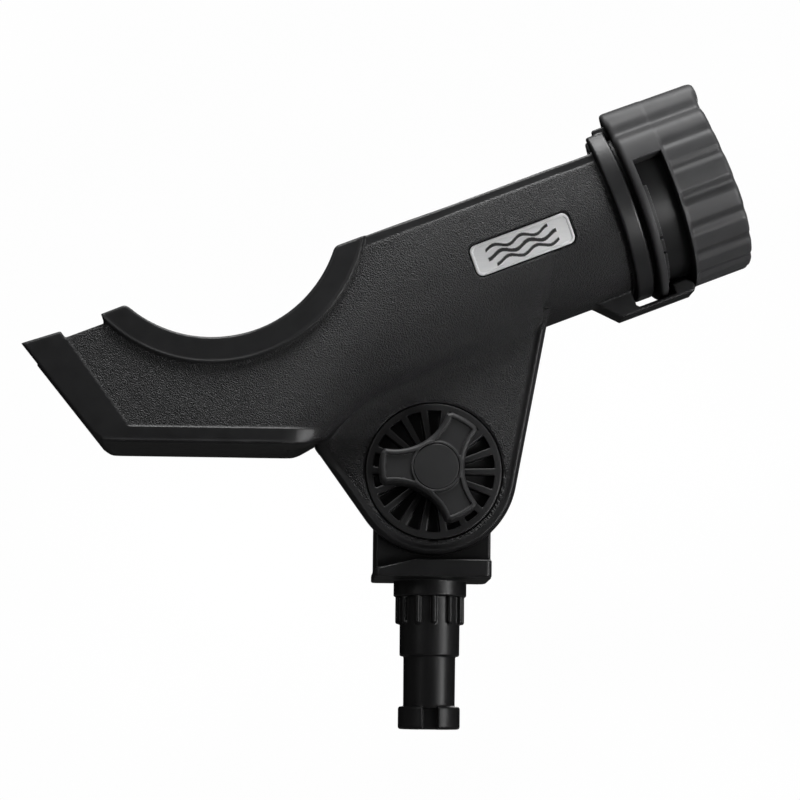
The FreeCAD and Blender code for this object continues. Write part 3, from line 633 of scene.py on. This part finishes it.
def badge_waves(flat_x, flat_z, half_width):
    """Three stacked waves; the outer two are thinner and shorter."""
    waves = []
    for i in (-1, 0, 1):
        off = flat_z - i * 2.7 - 0.85 * np.sin((flat_x + 2.0 * i) * 2 * math.pi / 10.5)
        waves.append(np.maximum(np.abs(off) * 0.9 - (half_width - 0.10 * abs(i)),
                                np.abs(flat_x + 1.2 * i) - (13.2 - 1.2 * abs(i))))
    return reduce(np.minimum, waves)


def badge_field(side):
    """Badge with a raised rim and waves on a sunk field; side is the sign of y."""
    def field(x, y, z):
        along, rise, radial = tube_coords(x, y, z)
        out = y * side
        flat_x, flat_z = badge_local(along, out, rise)
        outline = rectangle(flat_x, flat_z, BADGE_LENGTH / 2 - 0.02,
                            BADGE_HEIGHT / 2 - 0.02, 2.5)
        dist = extrude(outline, slab(radial, 31.82, 32.55), 0.22)
        dist = np.maximum(dist, 15.0 - out)
        dist = carve(dist, np.maximum(outline + 1.0, 32.33 - radial), 0.15)
        waves = badge_waves(flat_x, flat_z, 0.62)
        return join(dist, highest(waves, slab(radial, 32.0, 32.60), 15.0 - out), 0.12)
    return field


def badge_motif(side):
    """1 on the tops of the waves."""
    def mask(x, y, z):
        along, rise, radial = tube_coords(x, y, z)
        waves = badge_waves(*badge_local(along, y * side, rise), 0.66)
        return ease(0.12, -0.12, waves) * (radial > 32.4)
    return mask


# ---------------------------------------------------------------- materials
class Shader:
    """A material's node tree. Inputs may be sockets, numbers, vectors or RGB tuples."""

    def __init__(self, name):
        self.material = bpy.data.materials.new(name)
        self.material.use_nodes = True
        self.tree = self.material.node_tree
        self.tree.nodes.clear()
        self.output = self.add("OutputMaterial")
        self.principled = self.add("BsdfPrincipled")
        self.feed(self.output, {"Surface": self.principled.outputs["BSDF"]})

    def feed(self, node, inputs):
        for key, value in inputs.items():
            socket = node.inputs[key]
            if isinstance(value, bpy.types.NodeSocket):
                self.tree.links.new(value, socket)
            else:
                socket.default_value = (*value, 1) if socket.type == "RGBA" else value

    def set(self, **inputs):
        """Principled inputs, with _ for each space."""
        self.feed(self.principled, {key.replace("_", " "): v for key, v in inputs.items()})

    def add(self, kind, inputs={}, **settings):
        node = self.tree.nodes.new("ShaderNode" + kind)
        for key, value in settings.items():
            setattr(node, key, value)
        self.feed(node, inputs)
        return node

    def coords(self):
        return self.add("TexCoord").outputs["Object"]

    def stretched(self, vector, **inputs):
        return self.add("Mapping", {"Vector": vector, **inputs}).outputs["Vector"]

    def noise(self, vector, scale, detail, rough=0.55):
        return self.add("TexNoise", {"Vector": vector, "Scale": scale, "Detail": detail,
                                     "Roughness": rough}).outputs["Fac"]

    def math(self, operation, a, b):
        return self.add("Math", {0: a, 1: b}, operation=operation).outputs[0]

    def weighted(self, a, a_weight, b, b_weight):
        return self.math("ADD", self.math("MULTIPLY", a, a_weight),
                         self.math("MULTIPLY", b, b_weight))

    def remap(self, value, to, source=(0.3, 0.7)):
        return self.add("MapRange", {"Value": value, "From Min": source[0], "To Min": to[0],
                                     "From Max": source[1], "To Max": to[1]}).outputs["Result"]

    def ramp(self, value, dark, light):
        node = self.add("ValToRGB", {"Fac": value})
        for stop, place, colour in zip(node.color_ramp.elements, (0.3, 0.7), (dark, light)):
            stop.position = place
            stop.color = (*colour, 1)
        return node.outputs["Color"]

    def mix(self, factor, a, b):
        return self.add("Mix", {0: factor, 2: a, 3: b}, data_type="FLOAT").outputs[0]

    def mix_colour(self, factor, a, b):
        return self.add("Mix", {0: factor, 6: a, 7: b}, data_type="RGBA").outputs[2]

    def bump(self, height, strength, distance):
        return self.add("Bump", {"Height": height, "Strength": strength,
                                 "Distance": distance}).outputs["Normal"]

    def openness(self, distance):
        node = self.add("AmbientOcclusion", {"Distance": distance}, samples=6)
        return node.outputs["AO"]


def scaled(colour, factor):
    return tuple(c * factor for c in colour)


def edge_highlight_and_rub(shader):
    """Mask of exposed edges for a painted edge highlight, partly rubbing: bevelled normals
    differ and nothing is close by.
    """
    bevel = shader.add("Bevel", {"Radius": 0.0007}, samples=4).outputs["Normal"]
    normal = shader.add("NewGeometry").outputs["Normal"]
    dot = shader.add("VectorMath", {0: bevel, 1: normal}, operation="DOT_PRODUCT")
    exposed = shader.remap(shader.openness(0.0022), (0.0, 1.0), source=(0.62, 0.92))
    edge = shader.remap(dot.outputs["Value"], (0.0, 1.0), source=(0.985, 0.84))
    return shader.math("MULTIPLY", edge, exposed)


def leather(shader, vector, smooth, scale):
    """Moulded grain of cells broken up by noise: its height, and that height masked."""
    warp = shader.add("TexNoise", {"Scale": 500.0, "Vector": vector}).outputs["Color"]
    warp = shader.add("VectorMath", {0: warp, "Scale": 0.0011}, operation="SCALE").outputs[0]
    warped = shader.add("VectorMath", {0: vector, 1: warp}, operation="ADD").outputs[0]
    cells = shader.add("TexVoronoi", feature="SMOOTH_F1")
    shader.feed(cells, {"Scale": scale, "Smoothness": 0.6, "Vector": warped})
    grain = shader.weighted(cells.outputs["Distance"], 0.7,
                            shader.noise(vector, scale=scale * 0.9, detail=2.0), 0.6)
    return grain, shader.math("MULTIPLY", grain, shader.math("SUBTRACT", 1.0, smooth))


def plastic(name, base, rough, grain, fine=0.25, satin=None):
    """Black moulded nylon. grain is the bump strength, fine the weight of its finest noise.

    satin, a (colour, roughness) pair, applies where the "smooth" attribute is 1; the
    rest then has leather grain.
    """
    shader = Shader(name)
    vector = shader.coords()
    broad = shader.noise(vector, scale=22.0, detail=3.0)
    mid = shader.noise(vector, scale=160.0, detail=4.0)
    finest = shader.noise(vector, scale=2600.0, detail=2.0)
    scratch = shader.noise(vector, scale=420.0, detail=6.0, rough=0.7)
    # edge mask for a painted highlight with some rubbing, broken up by scratch noise
    highlight_and_rub = shader.math("MULTIPLY", edge_highlight_and_rub(shader), shader.remap(scratch, (0.35, 1.0)))
    colour = shader.ramp(shader.weighted(broad, 0.6, mid, 0.4),
                         scaled(base, 0.82), scaled(base, 1.2))
    roughness = shader.remap(mid, (rough - 0.045, rough + 0.045))
    if satin:
        satin_base, satin_rough = satin
        smooth = shader.add("Attribute", attribute_name="smooth").outputs["Fac"]
        cells, height = leather(shader, vector, smooth, scale=2300.0)
        normal = shader.bump(shader.weighted(height, 1.0, finest, 0.03), grain, 0.00055)
        satin_colour = shader.ramp(mid, scaled(satin_base, 0.88), scaled(satin_base, 1.12))
        # the low and high parts of the grain differ in shade
        shade = shader.remap(cells, (0.0, 1.0), source=(0.45, 0.95))
        grained = shader.mix_colour(shade, scaled(base, 0.72), scaled(base, 1.45))
        grained = shader.mix_colour(0.5, colour, grained)
        colour = shader.mix_colour(smooth, grained, satin_colour)
        satin_roughness = shader.remap(mid, (satin_rough - 0.04, satin_rough + 0.04))
        roughness = shader.mix(smooth, roughness, satin_roughness)
    else:
        normal = shader.bump(shader.weighted(finest, fine, mid, 0.35), grain, 0.00012)
    # painted shade: darker where other surfaces are close by, as in creases and recesses;
    # painted edge highlight, partly rubbing: lighter on exposed edges
    painted_shade = shader.remap(shader.openness(0.012), (0.30, 1.0), source=(0.45, 0.95))
    colour = shader.mix_colour(painted_shade, (0.0, 0.0, 0.0), colour)
    # painted edge highlight, partly rubbing: exposed edges lighter
    colour = shader.mix_colour(highlight_and_rub, colour, tuple(c * 2.6 + 0.055 for c in base))
    shader.set(Base_Color=colour, Roughness=roughness, Normal=normal)
    return shader.material


def brushed_metal(name, base=(0.62, 0.62, 0.61), rough=0.28, stretch=(1.0, 1.0, 14.0)):
    shader = Shader(name)
    vector = shader.coords()
    streaks = shader.noise(shader.stretched(vector, Scale=stretch),
                           scale=420.0, detail=5.0, rough=0.6)
    blotches = shader.noise(vector, scale=90.0, detail=3.0)
    shader.set(Base_Color=shader.ramp(blotches, scaled(base, 0.86), scaled(base, 1.08)),
               Roughness=shader.remap(streaks, (rough - 0.08, rough + 0.1)),
               Normal=shader.bump(streaks, strength=0.25, distance=0.00004),
               Metallic=1.0)
    return shader.material


def badge_silver():
    """Brushed silver face, matt black where the "motif" attribute is 1."""
    shader = Shader("badge_silver")
    vector = shader.coords()
    motif = shader.add("Attribute", attribute_name="motif").outputs["Fac"]
    brushed = shader.stretched(vector, Rotation=(0, TILT, 0), Scale=(1.0, 1.0, 22.0))
    streaks = shader.noise(brushed, scale=260.0, detail=4.0)
    broad = shader.noise(vector, scale=60.0, detail=2.0)
    face = shader.ramp(shader.weighted(streaks, 0.5, broad, 0.5),
                       (0.84, 0.84, 0.85), (0.97, 0.97, 0.97))
    shader.set(Base_Color=shader.mix_colour(motif, face, (0.012, 0.012, 0.012)),
               Roughness=shader.mix(motif, shader.remap(streaks, (0.30, 0.42)), 0.5),
               Metallic=shader.mix(motif, 0.30, 0.0),
               Normal=shader.bump(streaks, strength=0.15, distance=0.00004))
    return shader.material


BODY = plastic("nylon_textured", (0.023, 0.023, 0.024), rough=0.46, grain=1.0,
               satin=((0.022, 0.022, 0.023), 0.38))
RING = plastic("nylon_ring", (0.058, 0.058, 0.060), rough=0.50, grain=0.15)
POST = plastic("nylon_post", (0.022, 0.022, 0.023), rough=0.36, grain=0.15)
DISC = plastic("nylon_disc", (0.030, 0.030, 0.031), rough=0.40, grain=0.15)
KNOB = plastic("nylon_knob", (0.031, 0.031, 0.032), rough=0.50, grain=0.35, fine=0.6)
CAP = plastic("nylon_cap", (0.031, 0.031, 0.032), rough=0.48, grain=0.3, fine=0.6)
BOLT = brushed_metal("stainless_bolt")
WASHER = brushed_metal("stainless_washer", rough=0.33, stretch=(1, 14, 1))
BRASS = brushed_metal("brass_insert", base=(0.72, 0.55, 0.25), rough=0.25)
BADGE = badge_silver()


# ---------------------------------------------------------------- pieces
def piece(node, field, low, high, fineness, material, rides, masks={}):
    """Mesh a field within low..high as the skin of a CAD node."""
    ob = surface(field, low, high, SPACING * fineness, node + "_skin", masks)
    ob.data.materials.append(material)
    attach(ob, rides)
    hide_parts(node)


# node, field, low corner, high corner, spacing factor, material, body it rides, masks
piece("cradle_body", body_field, (-149.5, -39, 4), (114, 39, 175), 1, BODY,
      "cradle", {"smooth": body_smooth})
piece("lock_ring", ring_field, (56, -42, 101), (119, 42, 182.5), 0.75, RING,
      "ring")
piece("post", post_field, (-24, -24, -56), (24, 24, 62), 0.68, POST, "base")
piece("clutch_disc", disc_field, (-26.5, -22.5, 11), (26.5, -12.5, 64), 0.6, DISC,
      "clamp")
piece("knob", knob_field, (-23, -39.5, 15), (18, -20.5, 60), 0.58, KNOB,
      "knob")
piece("knob_cap", cap_field, (-10, -39, 27), (10, -35, 48), 0.45, CAP, "knob")
for node, side, low_y, high_y in (("badge_near", -1, -34, -28), ("badge_far", 1, 28, 34)):
    piece(node, badge_field(side), (7, low_y, 103), (51, high_y, 133), 0.36, BADGE,
          "cradle", {"motif": badge_motif(side)})
for node, metal in (("pivot_bolt", BOLT), ("knob_washer", WASHER), ("knob_insert", BRASS)):
    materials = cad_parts[node].data.materials
    materials.clear()
    materials.append(metal)


# ---------------------------------------------------------------- room (metres)
def white_sweep():
    """Pure white to the camera, dull grey to the light."""
    shader = Shader("white_sweep")
    cloud = shader.noise(shader.coords(), scale=1.3, detail=2.0)
    white = shader.ramp(cloud, (0.985, 0.985, 0.985), (1.0, 1.0, 1.0))
    shader.set(Base_Color=(0.09, 0.09, 0.09), Roughness=0.9, Specular_IOR_Level=0.0)
    glow = shader.add("Emission", {"Color": white, "Strength": 1.0})
    seen = shader.add("LightPath").outputs["Is Camera Ray"]
    mix = shader.add("MixShader", {0: seen, 1: shader.principled.outputs["BSDF"],
                                   2: glow.outputs["Emission"]})
    shader.feed(shader.output, {"Surface": mix.outputs["Shader"]})
    return shader.material


def build_sweep():
    """Floor that curves up into a back wall at +Y."""
    floor_z, bend_y, bend_r, half_width = -0.300, 2.6, 1.4, 8
    profile = [(-16.0, floor_z)]
    profile += [(bend_y + bend_r * math.sin(t), floor_z + bend_r * (1 - math.cos(t)))
                for t in np.linspace(0, math.pi / 2, 28)]
    profile.append((bend_y + bend_r, 6.0))
    verts = [(x, y, z) for y, z in profile for x in (-half_width, half_width)]
    faces = [(i - 2, i - 1, i + 1, i) for i in range(2, len(verts), 2)]
    mesh = bpy.data.meshes.new("sweep")
    mesh.from_pydata(verts, [], faces)
    mesh.update()
    for face in mesh.polygons:
        face.use_smooth = True
    sweep = bpy.data.objects.new("sweep", mesh)
    bpy.context.scene.collection.objects.link(sweep)
    mesh.materials.append(white_sweep())


def area(name, place, target, size, energy, spread=None):
    """Rectangular light aimed at target; size is (width, height), spread in degrees."""
    light = bpy.data.lights.new(name, "AREA")
    light.shape = "RECTANGLE"
    light.size, light.size_y = size
    light.energy = energy
    if spread:
        light.spread = math.radians(spread)
    ob = bpy.data.objects.new(name, light)
    ob.location = place
    ob.rotation_mode = "QUATERNION"
    ob.rotation_quaternion = (Vector(target) - Vector(place)).to_track_quat("-Z", "Y")
    bpy.context.scene.collection.objects.link(ob)


build_sweep()
MIDDLE = (0.0, 0.0, 0.08)
area("key", (0.00, -0.34, 1.30), MIDDLE, size=(0.9, 0.36), energy=15.5)
area("side_left", (-0.75, -0.70, 0.35), (-0.17, -0.02, 0.09), size=(0.35, 0.35),
     energy=0.022, spread=20)
area("side_right", (0.80, -0.75, -0.20), (0.17, -0.02, 0.14), size=(0.45, 0.45),
     energy=0.50, spread=27)
area("back_fill", (0.30, 1.15, 0.75), MIDDLE, size=(0.9, 0.5), energy=6.0)
area("post_strip", (1.00, -0.64, -0.06), (0.02, 0.0, -0.04), size=(0.40, 0.5),
     energy=0.10, spread=22)

scene = bpy.context.scene
world = bpy.data.worlds.new("studio")
scene.world = world
world.use_nodes = True
background = world.node_tree.nodes["Background"]
background.inputs["Color"].default_value = (1, 1, 1, 1)
background.inputs["Strength"].default_value = 0.055
scene.view_settings.view_transform = "Standard"
scene.view_settings.look = "None"


def build_camera():
    """Camera on the near side, looking slightly up, a little rolled."""
    target, distance = Vector((-11.494, 0, 65.237)) / 1000, 1.15
    turn, climb, roll = math.radians(-2.28), math.radians(-6.86), math.radians(0.6)
    data = bpy.data.cameras.new("camera")
    camera = bpy.data.objects.new("camera", data)
    scene.collection.objects.link(camera)
    data.sensor_width = 36.0
    data.lens = 142.76
    data.clip_start, data.clip_end = 0.05, 40
    back = Vector((math.sin(turn) * math.cos(climb), -math.cos(turn) * math.cos(climb),
                   math.sin(climb)))
    level = Vector((math.cos(turn), math.sin(turn), 0))
    upright = back.cross(level)
    right = math.cos(roll) * level + math.sin(roll) * upright
    up = -math.sin(roll) * level + math.cos(roll) * upright
    eye = target + back * distance
    camera.matrix_world = Matrix((*zip(right, up, back, eye), (0, 0, 0, 1)))
    scene.camera = camera


build_camera()
